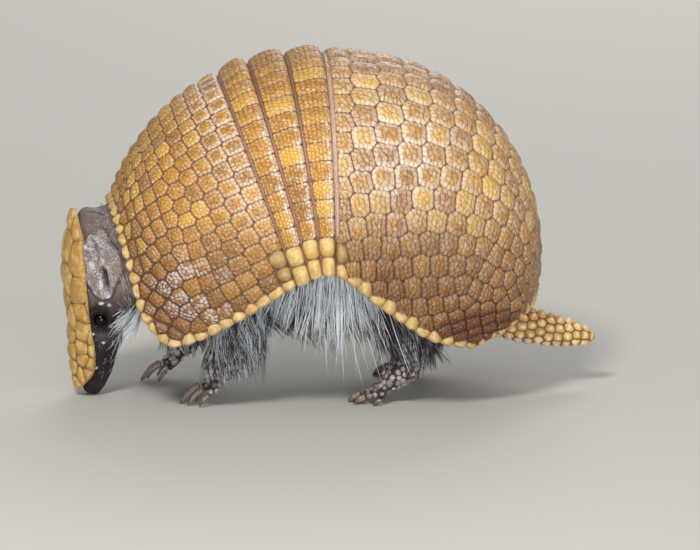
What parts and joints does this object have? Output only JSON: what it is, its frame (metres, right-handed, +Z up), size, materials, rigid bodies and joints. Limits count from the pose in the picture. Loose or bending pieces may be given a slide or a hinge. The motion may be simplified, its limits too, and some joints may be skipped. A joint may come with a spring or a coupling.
{
  "type": "armadillo model",
  "caption": "Life-size model of a walking three-banded armadillo with its nose to the ground: domed shields of scutes, bands, head shield, knobbed tail, legs and claws.",
  "frame": {"origin": "bottom centre of the animal's bounding box, on the floor", "axes": "head towards -X, tail towards +X, the animal's left side towards -Y, +Z up"},
  "size_m": [0.2248, 0.117, 0.1451],
  "materials": {
    "shield": "horny scutes over bone, satin",
    "band": "horny scutes over bone, satin",
    "head_shield": "horny scutes over bone, satin",
    "tail": "horny tubercles, satin",
    "skin": "dark skin with pale coarse hair",
    "ear": "granular grey skin",
    "claw": "horn, satin",
    "eye": "glossy black"
  },
  "bodies": {
    "root": {"claw_fore_left_1": "claw", "claw_fore_left_2": "claw", "claw_fore_left_3": "claw", "claw_fore_left_4": "claw", "claw_fore_right_1": "claw", "claw_fore_right_2": "claw", "claw_fore_right_3": "claw", "claw_fore_right_4": "claw", "claw_hind_left_1": "claw", "claw_hind_left_2": "claw", "claw_hind_left_3": "claw", "claw_hind_left_4": "claw", "claw_hind_left_5": "claw", "claw_hind_right_1": "claw", "claw_hind_right_2": "claw", "claw_hind_right_3": "claw", "claw_hind_right_4": "claw", "claw_hind_right_5": "claw", "ear_left": "ear", "ear_right": "ear", "eye_left": "eye", "eye_right": "eye", "foreleg_left": "skin", "foreleg_right": "skin", "head": "skin", "head_shield": "head_shield", "hindleg_left": "skin", "hindleg_right": "skin", "neck": "skin", "shell_band_1": "band", "shell_band_2": "band", "shell_band_3": "band", "shell_pelvic": "shield", "shell_scapular": "shield", "tail": "tail", "trunk": "skin"}
  },
  "joints": []
}
